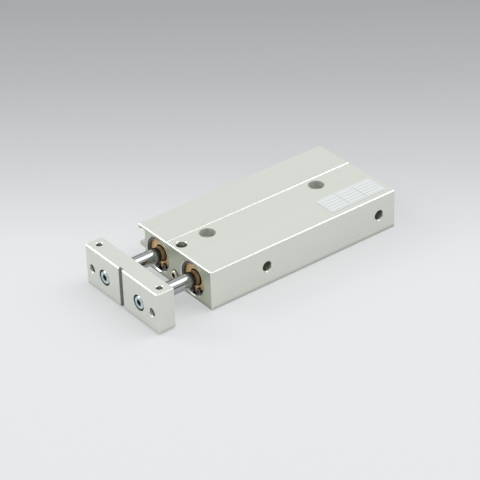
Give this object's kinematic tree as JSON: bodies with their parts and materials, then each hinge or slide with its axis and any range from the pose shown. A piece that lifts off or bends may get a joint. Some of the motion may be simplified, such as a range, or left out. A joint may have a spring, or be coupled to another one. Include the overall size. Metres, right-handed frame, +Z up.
{
  "type": "twin rod pneumatic cylinder",
  "caption": "Flat guided air cylinder: an extruded housing with parallel bores, chromed twin rods and a front plate that slides in and out.",
  "frame": {"origin": "on the bottom face of the housing, midway between the two mounting holes", "axes": "+Y along the rods towards the rear of the housing, so the front plate is at the -Y end; +X across, towards the side with the air ports; +Z up"},
  "size_m": [0.046, 0.1158, 0.0179],
  "materials": {
    "anodised_aluminium": "natural anodised, satin",
    "turned_aluminium": "turned",
    "chromed_steel": "hard chromed and ground",
    "bronze": "turned bearing bronze",
    "spring_steel": "phosphated spring steel",
    "black_steel": "blackened steel",
    "zinc_plated_steel": "bright zinc plated",
    "nitrile_rubber": "moulded",
    "polyurethane": "moulded, amber",
    "magnet": "rubber-bonded magnet"
  },
  "bodies": {
    "housing": {"body": "anodised_aluminium", "stop_screw": "zinc_plated_steel", "lock_screw": "black_steel", "front_ring_left": "spring_steel", "front_ring_right": "spring_steel", "seal_retainer_left": "bronze", "seal_retainer_right": "bronze", "rod_seal_left": "nitrile_rubber", "rod_seal_right": "nitrile_rubber", "rod_bush_left": "bronze", "rod_bush_right": "bronze", "bush_o_ring_left": "nitrile_rubber", "bush_o_ring_right": "nitrile_rubber", "front_bumper_left": "polyurethane", "front_bumper_right": "polyurethane", "rear_bumper_left": "polyurethane", "rear_bumper_right": "polyurethane", "head_cover_left": "turned_aluminium", "head_cover_right": "turned_aluminium", "head_o_ring_left": "nitrile_rubber", "head_o_ring_right": "nitrile_rubber", "rear_ring_left": "spring_steel", "rear_ring_right": "spring_steel"},
    "rod_assembly": {"front_plate": "anodised_aluminium", "plate_screws": "zinc_plated_steel", "piston_magnet": "magnet", "piston_rod_left": "chromed_steel", "piston_rod_right": "chromed_steel", "piston_left": "turned_aluminium", "piston_right": "turned_aluminium", "piston_seals_left": "nitrile_rubber", "piston_seals_right": "nitrile_rubber", "piston_nut_left": "zinc_plated_steel", "piston_nut_right": "zinc_plated_steel"}
  },
  "joints": [
    {"name": "plate_slide", "type": "slide", "parent": "housing", "child": "rod_assembly", "axis": [0, -1, 0], "range_m": [-0.0158, 0.0192]}
  ]
}
